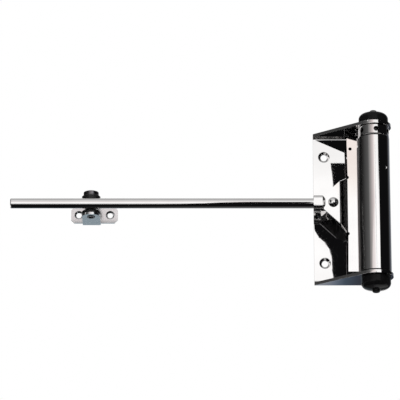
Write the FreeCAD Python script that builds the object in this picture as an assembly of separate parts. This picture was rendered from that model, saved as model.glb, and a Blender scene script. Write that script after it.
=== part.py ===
import FreeCAD, Part
import math
import os

from FreeCAD import Vector

# Spring door closer: a sprung barrel with a rod arm, its base bracket and its roller guide.
# +Z runs up the barrel, +X from the rod's free end to the barrel, and +Y into the wall.
# The origin lies midway between the two base screws, on the face against the wall.
# All sizes are in millimetres.

# Fits: gaps on the radius or between two faces
press_gap = 0.02
turning_gap = 0.05
free_gap = 0.3

# How far cutting tools run past the faces that they cut
cut_margin = 1.0

# Base bracket: one stamped sheet, a plate with an ear bent forward at each end
base_sheet = 2.5
base_height = 124.0
plate_left_margin = 8.5
plate_right_margin = 8.0
bend_inner_radius = 2.0
ear_root_depth = 6.0
ear_root_round = 2.0
ear_ring_radius = 13.6
base_screw_spacing = 87.0
base_screw_radius = 2.5
base_sink_radius = 4.4
barrel_offset = 38.0
barrel_standoff = 22.0

# Spindle through both ears, with a nut and a washer at each end
spindle_radius = 4.0
spindle_end_stub = 0.9
nut_across_flats = 13.0
nut_height = 3.6
cap_washer_thickness = 1.2

# End caps with a low dome and a nub
cap_radius = 11.5
cap_wall = 1.6
cap_room = 0.3
cap_dome_height = 1.4
cap_nub_radius = 3.1
cap_nub_height = 3.9

# Barrel, rolled from one sheet that runs on as a leaf and a tapered arm tab
barrel_radius = 12.0
barrel_sheet = 1.5
barrel_seam_gap = 0.6
leaf_width = 20.5
leaf_rise = 5.2
leaf_rise_width = 8.5
leaf_hole_radius = 1.3
leaf_hole_edge_margin = 2.6
leaf_hole_drop = 9.0
dimple_radius = 1.6
dimple_depth = 0.5
dimple_drop = 25.5
dimple_angle = -45.0
thrust_washer_thickness = 1.2

# Tension collar over the barrel, with tommy-bar holes
collar_height = 7.7
collar_neck_length = 11.0
collar_hole_count = 6
collar_hole_radius = 2.0
collar_hole_depth = 5.0
collar_edge_chamfer = 0.5

# Pieces sealed in the barrel
top_bush_wall = 1.3
top_bush_length = 32.0
plug_height = 9.0
bottom_bush_wall = 1.0
spring_wire_radius = 1.3
spring_turns = 9
spring_leg_length = 5.0

# Rod arm and the tab that carries it
rod_radius = 4.0
rod_length = 234.5
rod_setback = 6.0
rod_end_chamfer = 0.6
tang_thickness = 3.4
tang_length = 11.4
tang_neck_length = 4.0
tang_corner_round = 2.6
tab_root_height = 46.0
tab_taper_length = 13.0
tab_joggle_run = 5.7
tab_bend_radius = 0.8
tab_notch_radius = 1.4
socket_length = 7.8
socket_taper_length = 2.4
socket_taper_radius = 3.0
rivet_shank_radius = 2.4
rivet_head_radius = 3.9
rivet_head_height = 2.2
rivet_tail_radius = 3.4
rivet_tail_height = 1.4
rivet_from_socket = 7.4

# Roller guide: grooved roller on a pin, in a bent bracket with two screw holes
guide_from_rod_end = 62.2
guide_sheet = 1.8
guide_plate_width = 36.5
guide_plate_height = 12.9
guide_plate_offset = 2.1
guide_plate_corner = 2.5
guide_plate_drop = 1.6
guide_screw_spacing = 24.4
guide_screw_radius = 2.1
guide_sink_radius = 3.4
guide_bend_radius = 1.2
tongue_width = 14.0
tongue_reach = 21.4
roller_flange_radius = 7.2
roller_groove_radius = 4.3
roller_lower_flange = 2.0
roller_upper_flange = 4.0
roller_edge_round = 0.6
pin_radius = 2.6
pin_head_radius = 4.6
pin_head_height = 4.0
pin_tail_radius = 3.3
pin_tail_height = 0.5
pin_hollow_radius = 1.8
pin_hollow_depth = 5.0
pin_washer_radius = 6.0
pin_washer_thickness = 0.8

# Places worked out from the sizes above
axis_y = -base_sheet - barrel_standoff
ear_outer = base_height / 2
ear_inner = ear_outer - base_sheet
barrel_inner = barrel_radius - barrel_sheet
barrel_bottom = -ear_inner + thrust_washer_thickness + 2 * turning_gap
collar_top = ear_inner - free_gap
collar_bottom = collar_top - collar_height
barrel_top = collar_bottom - thrust_washer_thickness - 2 * turning_gap
neck_radius = barrel_inner - press_gap - top_bush_wall - turning_gap
neck_bottom = collar_bottom - collar_neck_length
plug_top = barrel_bottom + plug_height
plug_bore = spindle_radius + turning_gap + bottom_bush_wall + press_gap
spring_mean_radius = (plug_bore + neck_radius) / 2
spring_leg_radius = spring_wire_radius + turning_gap
rod_y = axis_y + rod_setback
socket_radius = rod_radius + press_gap + barrel_sheet
tab_back = rod_y - tang_thickness / 2
socket_right = barrel_offset - leaf_width - tab_joggle_run - tab_taper_length
socket_left = socket_right - socket_length
rod_left = socket_left - rod_length
rivet_x = socket_right + rivet_from_socket
tang_width = 2 * rod_radius
guide_x = rod_left + guide_from_rod_end
guide_plate_x = guide_x + guide_plate_offset
pin_y = rod_y + roller_groove_radius + rod_radius + free_gap
groove_half_width = rod_radius + free_gap
roller_bottom = -groove_half_width - roller_lower_flange
roller_top = groove_half_width + roller_upper_flange
tongue_top = roller_bottom - turning_gap
tongue_bottom = tongue_top - guide_sheet
guide_back = pin_y + tongue_reach

axis = Vector(barrel_offset, axis_y, 0)
along_x = Vector(1, 0, 0)
along_y = Vector(0, 1, 0)
along_z = Vector(0, 0, 1)
origin = Vector(0, 0, 0)


def outline(start, *steps):
    """Closed wire from a start point; each step is a line's end or an arc's (middle, end)."""
    edges = []
    here = start
    for step in steps + (start,):
        if isinstance(step, tuple):
            edges.append(Part.Arc(here, step[0], step[1]).toShape())
            here = step[1]
        elif (step - here).Length > press_gap / 10:
            edges.append(Part.makeLine(here, step))
            here = step
    return Part.Wire(edges)


def turned(start, *steps):
    """Solid of revolution about the Z axis from an outline in the XZ plane."""
    return Part.Face(outline(start, *steps)).revolve(origin, along_z, 360)


def ring(outer, inner, low, high):
    """Plain ring or bush about the Z axis."""
    profile = outline(
        Vector(inner, 0, low),
        Vector(outer, 0, low),
        Vector(outer, 0, high),
        Vector(inner, 0, high),
    )
    return Part.Face(profile).revolve(origin, along_z, 360)


def on_axis(shape):
    """The shape moved from the Z axis to the barrel's axis."""
    return shape.translated(axis)


def dome_middle(first, second):
    """Middle of the arc from first to second on a sphere centred on the Z axis."""
    rise = second.z - first.z
    centre = (second.x ** 2 + second.z ** 2 - first.x ** 2 - first.z ** 2) / (2 * rise)
    radius = math.hypot(first.x, first.z - centre)
    lean = (math.atan2(first.x, first.z - centre) + math.atan2(second.x, second.z - centre)) / 2
    return Vector(radius * math.sin(lean), 0, centre + radius * math.cos(lean))


def edges_on(shape, *places):
    """Edges whose bounding box has every one of the given (side name, value) pairs."""
    found = []
    for edge in shape.Edges:
        box = edge.BoundBox
        if all(abs(getattr(box, name) - value) < press_gap / 10 for name, value in places):
            found.append(edge)
    return found


def tangent_point(point, centre, radius, side):
    """Point where a line from a point outside a circle touches it, on the given side."""
    away = point - centre
    angle = math.atan2(away.y, away.x) + side * math.acos(radius / away.Length)
    return centre + Vector(math.cos(angle), math.sin(angle), 0) * radius


def sunk_hole(x, z, front, sheet, radius, sink):
    """Countersunk screw hole through a sheet whose front face looks along -Y."""
    hole = Part.makeCylinder(radius, sheet + 2 * cut_margin, Vector(x, front - cut_margin, z), along_y)
    cone = Part.makeCone(sink, radius, sink - radius, Vector(x, front, z), along_y)
    return hole.fuse(cone)


def write(name, shape):
    shape.exportStep("parts/" + name + ".step")
    print(name, len(shape.Solids), shape.isValid(), round(shape.Volume, 1))


def base_bracket():
    left = -plate_left_margin
    right = barrel_offset + plate_right_margin
    centre = Vector(axis.x, axis.y, 0)
    left_root = Vector(left, -base_sheet - ear_root_depth, 0)
    right_root = Vector(right, -base_sheet - ear_root_depth, 0)
    left_touch = tangent_point(left_root, centre, ear_ring_radius, 1)
    right_touch = tangent_point(right_root, centre, ear_ring_radius, -1)
    ear_wire = outline(
        Vector(left, 0, 0),
        left_root,
        left_touch,
        (centre - along_y * ear_ring_radius, right_touch),
        right_root,
        Vector(right, 0, 0),
    )
    ear = Part.Face(ear_wire).extrude(along_z * base_sheet)
    ear = ear.makeFillet(ear_root_round, edges_on(ear, ("XMin", left), ("XMax", left), ("YMax", left_root.y)))
    plate = Part.makeBox(right - left, base_sheet, base_height, Vector(left, -base_sheet, -ear_outer))
    bracket = plate.fuse([ear.translated(along_z * ear_inner), ear.translated(along_z * -ear_outer)])
    bracket = bracket.removeSplitter()
    inside = edges_on(bracket, ("YMin", -base_sheet), ("YMax", -base_sheet), ("ZMin", ear_inner))
    inside += edges_on(bracket, ("YMin", -base_sheet), ("YMax", -base_sheet), ("ZMax", -ear_inner))
    bracket = bracket.makeFillet(bend_inner_radius, inside)
    outside = edges_on(bracket, ("YMin", 0), ("ZMin", ear_outer))
    outside += edges_on(bracket, ("YMin", 0), ("ZMax", -ear_outer))
    bracket = bracket.makeFillet(bend_inner_radius + base_sheet, outside)
    bore = Part.makeCylinder(spindle_radius + press_gap, base_height, axis - along_z * ear_outer)
    holes = [bore]
    for side in (-1, 1):
        place = side * base_screw_spacing / 2
        holes.append(sunk_hole(0, place, -base_sheet, base_sheet, base_screw_radius, base_sink_radius))
    return bracket.cut(holes)


def spindle():
    reach = ear_outer + cap_washer_thickness + nut_height + spindle_end_stub
    rod = Part.makeCylinder(spindle_radius, 2 * reach, Vector(0, 0, -reach))
    return on_axis(rod.makeChamfer(spindle_end_stub / 2, [edge for edge in rod.Edges if edge.Closed]))


def hex_nut(low):
    corner = nut_across_flats / 2 / math.cos(math.pi / 6)
    points = []
    for step in range(6):
        turn = step * math.pi / 3
        points.append(Vector(corner * math.cos(turn), corner * math.sin(turn), low))
    block = Part.Face(outline(*points)).extrude(along_z * nut_height)
    return on_axis(block.cut(ring(spindle_radius + press_gap, 0, low, low + nut_height)))


def cap_washer(low):
    outer = cap_radius - cap_wall - press_gap
    return on_axis(ring(outer, spindle_radius + press_gap, low, low + cap_washer_thickness))


def end_cap():
    room = cap_washer_thickness + nut_height + cap_room
    dome_top = room + cap_wall + cap_dome_height
    inner = cap_radius - cap_wall
    rim_out = Vector(cap_radius, 0, room + cap_wall)
    nub_foot = Vector(cap_nub_radius, 0, dome_top)
    roof_in = Vector(cap_nub_radius, 0, dome_top - cap_wall)
    rim_in = Vector(inner, 0, room)
    return turned(
        Vector(inner, 0, 0),
        Vector(cap_radius, 0, 0),
        rim_out,
        (dome_middle(rim_out, nub_foot), nub_foot),
        Vector(cap_nub_radius, 0, dome_top + cap_nub_height),
        Vector(0, 0, dome_top + cap_nub_height),
        Vector(0, 0, dome_top - cap_wall),
        roof_in,
        (dome_middle(roof_in, rim_in), rim_in),
    )


def barrel_section():
    """Rolled sheet seen along the barrel: a leaf that runs tangent from the back of the tube."""
    outer_back = Vector(0, barrel_radius, 0)
    inner_back = Vector(0, barrel_inner, 0)
    drop = math.acos((barrel_inner - barrel_seam_gap) / barrel_radius)
    edge_out = Vector(-math.sin(drop), math.cos(drop), 0) * barrel_radius
    edge_in = Vector(-math.sin(drop), math.cos(drop), 0) * barrel_inner
    return Part.Face(outline(
        Vector(-leaf_width, barrel_radius, 0),
        outer_back,
        (Vector(0, -barrel_radius, 0), edge_out),
        edge_in,
        (Vector(0, -barrel_inner, 0), inner_back),
        Vector(-leaf_width, barrel_inner, 0),
    ))


def arm_tab():
    """Tapered tab joggled forward from the leaf, with a half-round socket for the rod's end."""
    leaf_front = axis.y + barrel_inner
    tab_front = tab_back - barrel_sheet
    drop = leaf_front - tab_front
    shift = barrel_sheet * (math.hypot(drop, tab_joggle_run) - tab_joggle_run) / drop
    bend_top = barrel_offset - leaf_width
    bend_foot = bend_top - tab_joggle_run
    low = -tab_root_height / 2
    section = outline(
        Vector(bend_top + barrel_sheet, leaf_front, low),
        Vector(bend_top, leaf_front, low),
        Vector(bend_foot, tab_front, low),
        Vector(socket_right, tab_front, low),
        Vector(socket_right, tab_back, low),
        Vector(bend_foot - shift, tab_back, low),
        Vector(bend_top - shift, leaf_front + barrel_sheet, low),
        Vector(bend_top + barrel_sheet, leaf_front + barrel_sheet, low),
    )
    sheet = Part.Face(section).extrude(along_z * tab_root_height)
    outer_bends = edges_on(sheet, ("XMin", bend_foot), ("XMax", bend_foot))
    outer_bends += edges_on(sheet, ("XMin", bend_top - shift), ("XMax", bend_top - shift))
    sheet = sheet.makeFillet(tab_bend_radius + barrel_sheet, outer_bends)
    inner_bends = edges_on(sheet, ("XMin", bend_top), ("XMax", bend_top))
    inner_bends += edges_on(sheet, ("XMin", bend_foot - shift), ("XMax", bend_foot - shift))
    sheet = sheet.makeFillet(tab_bend_radius, inner_bends)
    clear_front = tab_front - cut_margin
    taper = outline(
        Vector(bend_top + barrel_sheet, clear_front, low),
        Vector(bend_top, clear_front, low),
        Vector(socket_right, clear_front, -socket_radius),
        Vector(socket_right, clear_front, socket_radius),
        Vector(bend_top, clear_front, -low),
        Vector(bend_top + barrel_sheet, clear_front, -low),
    )
    sheet = sheet.common(Part.Face(taper).extrude(along_y * (drop + barrel_sheet + 2 * cut_margin)))
    start = Vector(socket_left, rod_y, 0)
    taper_start = Vector(socket_right, rod_y, 0)
    inner = socket_radius - barrel_sheet
    taper_inner = socket_taper_radius - barrel_sheet
    shell = Part.makeCylinder(socket_radius, socket_length, start, along_x)
    shell = shell.fuse(Part.makeCone(
        socket_radius, socket_taper_radius, socket_taper_length, taper_start, along_x))
    hollow = Part.makeCylinder(inner, socket_length, start, along_x)
    hollow = hollow.fuse(Part.makeCone(inner, taper_inner, socket_taper_length, taper_start, along_x))
    back_half = Part.makeBox(socket_length, socket_radius, 2 * socket_radius,
                             Vector(socket_left, rod_y, -socket_radius))
    behind_tab = Part.makeBox(socket_taper_length, 2 * socket_radius, 2 * socket_radius,
                              Vector(socket_right, tab_back, -socket_radius))
    return sheet.cut(hollow).fuse(shell.cut([hollow, back_half, behind_tab]))


def arm_barrel():
    height = barrel_top - barrel_bottom
    tube = barrel_section().extrude(along_z * height)
    tube = tube.translated(Vector(axis.x, axis.y, barrel_bottom))
    leaf_left = barrel_offset - leaf_width
    leaf_front = axis.y + barrel_inner
    cutter_front = leaf_front - cut_margin
    cutter_length = barrel_sheet + 2 * cut_margin
    rise_foot = Vector(leaf_left, leaf_front, barrel_top)
    rise = Part.makeBox(leaf_rise_width, barrel_sheet, leaf_rise, rise_foot)
    cutters = []
    for side in (-1, 1):
        notch_foot = Vector(leaf_left, cutter_front, side * tab_root_height / 2)
        cutters.append(Part.makeCylinder(tab_notch_radius, cutter_length, notch_foot, along_y))
    hole_height = barrel_top + leaf_rise - leaf_hole_drop
    hole_foot = Vector(leaf_left + leaf_hole_edge_margin, cutter_front, hole_height)
    cutters.append(Part.makeCylinder(leaf_hole_radius, cutter_length, hole_foot, along_y))
    turn = math.radians(dimple_angle)
    outward = Vector(math.cos(turn), math.sin(turn), 0)
    dimple_centre = axis + outward * (barrel_radius + dimple_radius - dimple_depth)
    cutters.append(Part.makeSphere(dimple_radius, dimple_centre + along_z * (barrel_top - dimple_drop)))
    rivet_foot = Vector(rivet_x, tab_back - barrel_sheet - cut_margin, 0)
    cutters.append(Part.makeCylinder(rivet_shank_radius + press_gap, cutter_length, rivet_foot, along_y))
    return tube.fuse([rise, arm_tab()]).cut(cutters).removeSplitter()


def tension_collar():
    body = turned(
        Vector(spindle_radius + turning_gap, 0, neck_bottom),
        Vector(neck_radius, 0, neck_bottom),
        Vector(neck_radius, 0, collar_bottom),
        Vector(barrel_radius - collar_edge_chamfer, 0, collar_bottom),
        Vector(barrel_radius, 0, collar_bottom + collar_edge_chamfer),
        Vector(barrel_radius, 0, collar_top - collar_edge_chamfer),
        Vector(barrel_radius - collar_edge_chamfer, 0, collar_top),
        Vector(spindle_radius + turning_gap, 0, collar_top),
    )
    middle = (collar_top + collar_bottom) / 2
    cutters = [Part.makeCylinder(
        spring_leg_radius + turning_gap, spring_leg_length + free_gap,
        Vector(spring_mean_radius, 0, neck_bottom), along_z)]
    for step in range(collar_hole_count):
        turn = 2 * math.pi * step / collar_hole_count - math.pi / 2
        outward = Vector(math.cos(turn), math.sin(turn), 0)
        foot = outward * (barrel_radius - collar_hole_depth) + along_z * middle
        cutters.append(Part.makeCylinder(collar_hole_radius, collar_hole_depth + cut_margin, foot, outward))
    return on_axis(body.cut(cutters))


def collar_washer():
    low = barrel_top + turning_gap
    return on_axis(ring(barrel_radius - collar_edge_chamfer, neck_radius + turning_gap,
                        low, low + thrust_washer_thickness))


def bottom_washer():
    low = -ear_inner + turning_gap
    return on_axis(ring(barrel_radius - collar_edge_chamfer, spindle_radius + turning_gap,
                        low, low + thrust_washer_thickness))


def top_bush():
    outer = barrel_inner - press_gap
    return on_axis(ring(outer, outer - top_bush_wall, barrel_top - top_bush_length, barrel_top))


def bottom_plug():
    body = ring(barrel_inner - press_gap, plug_bore, barrel_bottom, plug_top)
    foot = Vector(spring_mean_radius, 0, plug_top - spring_leg_length - free_gap)
    return on_axis(body.cut(Part.makeCylinder(
        spring_leg_radius + turning_gap, spring_leg_length + 2 * free_gap, foot, along_z)))


def bottom_bush():
    inner = spindle_radius + turning_gap
    return on_axis(ring(inner + bottom_bush_wall, inner, barrel_bottom, plug_top))


def torsion_spring():
    low = plug_top + free_gap + spring_wire_radius
    high = neck_bottom - free_gap - spring_wire_radius
    helix = Part.makeHelix((high - low) / spring_turns, high - low, spring_mean_radius)
    start = Vector(spring_mean_radius, 0, 0)
    circle = Part.Wire(Part.makeCircle(spring_wire_radius, start, along_y))
    coil = Part.Wire(helix).makePipeShell([circle], True, True).translated(along_z * low)
    past_coil = spring_wire_radius + free_gap
    legs = []
    for level, way in ((low, -1), (high, 1)):
        foot = Vector(spring_mean_radius, 0, level - way * past_coil)
        legs.append(Part.makeCylinder(
            spring_leg_radius, 2 * past_coil + spring_leg_length, foot, along_z * way))
    return on_axis(coil.fuse(legs))


def arm_rod():
    shaft = Part.makeCylinder(rod_radius, rod_length + socket_length - tang_neck_length,
                              Vector(rod_left, rod_y, 0), along_x)
    shaft = shaft.makeChamfer(rod_end_chamfer, edges_on(shaft, ("XMin", rod_left), ("XMax", rod_left)))
    neck_start = Vector(socket_right - tang_neck_length, rod_y, 0)
    neck_end = Vector(socket_right, rod_y, 0)
    round_wire = Part.Wire(Part.makeCircle(rod_radius, neck_start, along_x))
    wide = neck_end + along_z * (tang_width / 2)
    narrow = neck_end + along_y * (tang_thickness / 2)
    flat = Part.Ellipse(wide, narrow, neck_end)
    neck = Part.makeLoft([round_wire, Part.Wire(flat.toShape())], True)
    tang = Part.makeBox(tang_length, tang_thickness, tang_width,
                        Vector(socket_right, tab_back, -tang_width / 2))
    tang_back = tab_back + tang_thickness
    corners = edges_on(tang, ("XMin", socket_right + tang_length), ("YMin", tab_back), ("YMax", tang_back))
    tang = tang.makeFillet(tang_corner_round, corners)
    hole = Part.makeCylinder(rivet_shank_radius + press_gap, tang_thickness + 2 * cut_margin,
                             Vector(rivet_x, tab_back - cut_margin, 0), along_y)
    return shaft.fuse([neck, tang]).cut(hole)


def arm_rivet():
    grip = barrel_sheet + tang_thickness
    head_rim = Vector(rivet_head_radius, 0, grip)
    head_top = Vector(0, 0, grip + rivet_head_height)
    body = turned(
        Vector(0, 0, -rivet_tail_height),
        Vector(rivet_tail_radius, 0, -rivet_tail_height),
        Vector(rivet_tail_radius, 0, 0),
        Vector(rivet_shank_radius, 0, 0),
        Vector(rivet_shank_radius, 0, grip),
        head_rim,
        (dome_middle(head_rim, head_top), head_top),
    )
    body.rotate(origin, along_x, 90)
    return body.translated(Vector(rivet_x, tab_back + tang_thickness, 0))


def guide_roller():
    groove_out = Vector(roller_flange_radius, 0, 0)
    centre_r = pin_y - rod_y
    half = math.sqrt(groove_half_width ** 2 - (centre_r - roller_flange_radius) ** 2)
    body = turned(
        Vector(pin_radius + turning_gap, 0, roller_bottom),
        Vector(roller_flange_radius, 0, roller_bottom),
        groove_out - along_z * half,
        (Vector(centre_r - groove_half_width, 0, 0), groove_out + along_z * half),
        Vector(roller_flange_radius, 0, roller_top),
        Vector(pin_radius + turning_gap, 0, roller_top),
    )
    rims = []
    for edge in body.Edges:
        if edge.Closed and abs(edge.BoundBox.XMax - roller_flange_radius) < press_gap:
            rims.append(edge)
    return body.makeFillet(roller_edge_round, rims).translated(Vector(guide_x, pin_y, 0))


def guide_pin():
    tail = tongue_bottom - pin_tail_height
    head = roller_top + 2 * turning_gap + pin_washer_thickness
    head_rim = Vector(pin_head_radius, 0, head)
    head_top = Vector(0, 0, head + pin_head_height)
    body = turned(
        Vector(pin_hollow_radius, 0, tail),
        Vector(pin_tail_radius, 0, tail),
        Vector(pin_radius, 0, tongue_bottom),
        Vector(pin_radius, 0, head),
        head_rim,
        (dome_middle(head_rim, head_top), head_top),
        Vector(0, 0, tail + pin_hollow_depth),
        Vector(pin_hollow_radius, 0, tail + pin_hollow_depth),
    )
    return body.translated(Vector(guide_x, pin_y, 0))


def guide_washer():
    low = roller_top + turning_gap
    disc = ring(pin_washer_radius, pin_radius + press_gap, low, low + pin_washer_thickness)
    return disc.translated(Vector(guide_x, pin_y, 0))


def guide_bracket():
    half = guide_plate_width / 2
    front = guide_back - guide_sheet
    low = tongue_bottom + guide_plate_drop
    high = low + guide_plate_height
    plate_wire = outline(
        Vector(guide_plate_x - half + guide_plate_corner, front, low),
        Vector(guide_plate_x + half - guide_plate_corner, front, low),
        Vector(guide_plate_x + half, front, low + guide_plate_corner),
        Vector(guide_plate_x + half, front, high - guide_plate_corner),
        Vector(guide_plate_x + half - guide_plate_corner, front, high),
        Vector(guide_plate_x - half + guide_plate_corner, front, high),
        Vector(guide_plate_x - half, front, high - guide_plate_corner),
        Vector(guide_plate_x - half, front, low + guide_plate_corner),
    )
    plate = Part.Face(plate_wire).extrude(along_y * guide_sheet)
    side = tongue_width / 2
    tongue_wire = outline(
        Vector(guide_x + side, guide_back, tongue_bottom),
        Vector(guide_x + side, pin_y, tongue_bottom),
        (Vector(guide_x, pin_y - side, tongue_bottom), Vector(guide_x - side, pin_y, tongue_bottom)),
        Vector(guide_x - side, guide_back, tongue_bottom),
    )
    tongue = Part.Face(tongue_wire).extrude(along_z * guide_sheet)
    body = plate.fuse(tongue).removeSplitter()
    inside = edges_on(body, ("YMin", front), ("YMax", front), ("ZMin", tongue_top), ("ZMax", tongue_top))
    body = body.makeFillet(guide_bend_radius, inside)
    outside = edges_on(body, ("YMin", guide_back), ("ZMin", tongue_bottom), ("ZMax", tongue_bottom))
    body = body.makeFillet(guide_bend_radius, outside)
    cutters = [Part.makeCylinder(pin_radius + turning_gap, guide_sheet + 2 * cut_margin,
                                 Vector(guide_x, pin_y, tongue_bottom - cut_margin))]
    middle = (low + high) / 2
    for way in (-1, 1):
        place = guide_plate_x + way * guide_screw_spacing / 2
        cutters.append(sunk_hole(place, middle, front, guide_sheet, guide_screw_radius, guide_sink_radius))
    return body.cut(cutters)


os.makedirs("parts", exist_ok=True)

cap = end_cap()

write("base_bracket", base_bracket())
write("spindle", spindle())
write("top_cap_washer", cap_washer(ear_outer))
write("bottom_cap_washer", cap_washer(-ear_outer - cap_washer_thickness))
write("top_nut", hex_nut(ear_outer + cap_washer_thickness))
write("bottom_nut", hex_nut(-ear_outer - cap_washer_thickness - nut_height))
write("top_cap", on_axis(cap.translated(along_z * ear_outer)))
write("bottom_cap", on_axis(cap.rotated(origin, along_x, 180).translated(along_z * -ear_outer)))
write("bottom_washer", bottom_washer())
write("arm_barrel", arm_barrel())
write("arm_rod", arm_rod())
write("arm_rivet", arm_rivet())
write("bottom_plug", bottom_plug())
write("bottom_bush", bottom_bush())
write("top_bush", top_bush())
write("torsion_spring", torsion_spring())
write("tension_collar", tension_collar())
write("collar_washer", collar_washer())
write("guide_bracket", guide_bracket())
write("guide_pin", guide_pin())
write("guide_washer", guide_washer())
write("guide_roller", guide_roller())
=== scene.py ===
import math

import bpy
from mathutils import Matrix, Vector


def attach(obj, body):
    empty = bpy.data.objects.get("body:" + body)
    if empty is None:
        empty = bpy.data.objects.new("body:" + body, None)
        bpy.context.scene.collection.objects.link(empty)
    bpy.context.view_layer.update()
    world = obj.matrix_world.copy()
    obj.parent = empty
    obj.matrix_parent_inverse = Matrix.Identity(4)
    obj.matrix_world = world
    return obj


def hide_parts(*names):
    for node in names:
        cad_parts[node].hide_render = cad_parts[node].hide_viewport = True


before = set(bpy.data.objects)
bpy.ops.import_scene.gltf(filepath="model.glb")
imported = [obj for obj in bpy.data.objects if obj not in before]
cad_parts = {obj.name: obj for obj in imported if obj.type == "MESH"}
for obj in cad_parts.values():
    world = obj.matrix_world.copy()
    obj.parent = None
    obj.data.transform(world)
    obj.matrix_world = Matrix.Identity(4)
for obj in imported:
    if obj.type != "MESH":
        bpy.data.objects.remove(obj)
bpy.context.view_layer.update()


# Base bracket: one stamping of mirror-polished sheet steel, screwed to the frame of the door.
# A flat plate, with a tapered ear folded forward at its top and bottom to carry the spindle.
# Two countersunk screw holes stand one above the other near the plate's free edge.

mm = 0.001
plate_left = -8.5
plate_right = 46.0
plate_sheet = 2.5
ear_outer = 62.0
ear_inner = ear_outer - plate_sheet
fold_inside = 2.0
fold_outside = fold_inside + plate_sheet
barrel_x = 38.0
barrel_y = -24.5
ear_round = 13.6
ear_root = -5.0
ear_root_round = 2.0
ear_root_back = ear_root + 1.4
ear_root_end = 228
screw_height = 43.5
screw_radius = 2.5
screw_sink = 4.4
spindle_radius = 4.0
press_gap = 0.02
margin = 1.0


def arc(middle, radius, start, end, steps):
    """Points of an arc in a flat outline, from one angle to another, in degrees."""
    points = []
    for step in range(steps + 1):
        turn = math.radians(start + (end - start) * step / steps)
        points.append((middle[0] + radius * math.cos(turn), middle[1] + radius * math.sin(turn)))
    return points


def touch_angle(corner, middle, radius, side):
    """Angle at which a line from a corner touches a circle, in degrees."""
    across = math.dist(corner, middle)
    towards = math.atan2(corner[1] - middle[1], corner[0] - middle[0])
    return math.degrees(towards + side * math.acos(radius / across))


def pulled(step):
    """Extrudes what is selected by a step, in millimetres."""
    bpy.ops.mesh.extrude_region_move(TRANSFORM_OT_translate={"value": Vector(step) * mm})


def drawn_line(name, points):
    """One point of a new mesh, drawn out step by step through the given places, in millimetres."""
    bpy.ops.object.select_all(action="DESELECT")
    bpy.ops.mesh.primitive_plane_add(size=mm)
    piece = bpy.context.object
    piece.name = name
    piece.data.name = name
    bpy.ops.object.mode_set(mode="EDIT")
    bpy.ops.mesh.select_mode(type="VERT")
    bpy.ops.mesh.select_all(action="SELECT")
    bpy.ops.mesh.merge(type="CENTER")
    bpy.ops.transform.translate(value=Vector(points[0]) * mm)
    for last, here in zip(points, points[1:]):
        pulled(Vector(here) - Vector(last))
    return piece


def close_up():
    """Merges the meeting points of the mesh in hand, and turns its faces outwards."""
    bpy.ops.mesh.select_all(action="SELECT")
    bpy.ops.mesh.remove_doubles(threshold=mm / 500)
    bpy.ops.mesh.normals_make_consistent(inside=False)
    bpy.ops.object.mode_set(mode="OBJECT")


def blanked(name, outline, push):
    """A flat blank: a closed outline, filled and pushed out to its thickness."""
    piece = drawn_line(name, outline)
    bpy.ops.mesh.select_all(action="SELECT")
    bpy.ops.mesh.edge_face_add()
    pulled(push)
    close_up()
    return piece


def turned(name, profile, steps=96):
    """A turned piece: its (radius, height) profile, spun once round the Z axis."""
    piece = drawn_line(name, [(radius, 0, height) for radius, height in profile])
    bpy.ops.mesh.select_all(action="SELECT")
    bpy.ops.mesh.spin(steps=steps, angle=2 * math.pi, center=(0, 0, 0), axis=(0, 0, 1))
    close_up()
    return piece


def put(piece, place, lean=0.0, tip=0.0):
    """Turns a piece about X and Y, in degrees, moves it to its place, and settles both into its mesh."""
    bpy.ops.object.select_all(action="DESELECT")
    piece.select_set(True)
    bpy.context.view_layer.objects.active = piece
    piece.rotation_euler = (math.radians(lean), math.radians(tip), 0)
    piece.location = Vector(place) * mm
    bpy.ops.object.transform_apply(location=True, rotation=True, scale=True)
    return piece


def worked(piece, other, way):
    """Cuts a tool out of a piece, welds a second piece to it, or keeps what the two share."""
    bpy.ops.object.select_all(action="DESELECT")
    piece.select_set(True)
    bpy.context.view_layer.objects.active = piece
    tool = piece.modifiers.new(way, "BOOLEAN")
    tool.operation = way
    tool.solver = "EXACT"
    tool.object = other
    bpy.ops.object.modifier_apply(modifier=tool.name)
    bpy.data.objects.remove(other, do_unlink=True)


def eased(piece, width, segments=2):
    """Takes the sharpness off the edges, and smooths what lies between them."""
    bpy.ops.object.select_all(action="DESELECT")
    piece.select_set(True)
    bpy.context.view_layer.objects.active = piece
    round_over = piece.modifiers.new("edge", "BEVEL")
    round_over.width = width * mm
    round_over.segments = segments
    round_over.limit_method = "ANGLE"
    round_over.angle_limit = math.radians(35)
    round_over.use_clamp_overlap = True
    bpy.ops.object.modifier_apply(modifier=round_over.name)
    bpy.ops.object.shade_smooth_by_angle(angle=math.radians(40))
    flats = piece.modifiers.new("flats", "WEIGHTED_NORMAL")
    flats.keep_sharp = True
    flats.weight = 80
    bpy.ops.object.modifier_apply(modifier=flats.name)


def sunk_screw_hole(radius, sink, sheet):
    """Tool for a countersunk screw hole, drilled along +Y from the sheet's front face at Y 0."""
    profile = [(0, margin), (sink + margin, margin), (radius, radius - sink),
               (radius, -sheet - margin), (0, -sheet - margin)]
    return put(turned("drill", profile, 48), (0, 0, 0), 90)


# The folded section of the bracket, drawn in the YZ plane from the top ear down to the bottom one.
ear_tip = barrel_y - ear_round - margin
fold = -fold_outside
section = [(ear_tip, ear_outer)]
section += arc((fold, ear_outer - fold_outside), fold_outside, 90, 0, 12)
section += arc((fold, fold_outside - ear_outer), fold_outside, 0, -90, 12)
section += [(ear_tip, -ear_outer), (ear_tip, -ear_inner)]
section += arc((fold, fold_outside - ear_outer), fold_inside, -90, 0, 12)
section += arc((fold, ear_outer - fold_outside), fold_inside, 0, 90, 12)
section += [(ear_tip, ear_inner), (ear_tip, ear_outer)]
section_left = plate_left - margin
section_length = barrel_x + ear_round + margin - section_left
base = blanked("base_plate", [(section_left, y, z) for y, z in section], (section_length, 0, 0))

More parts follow.
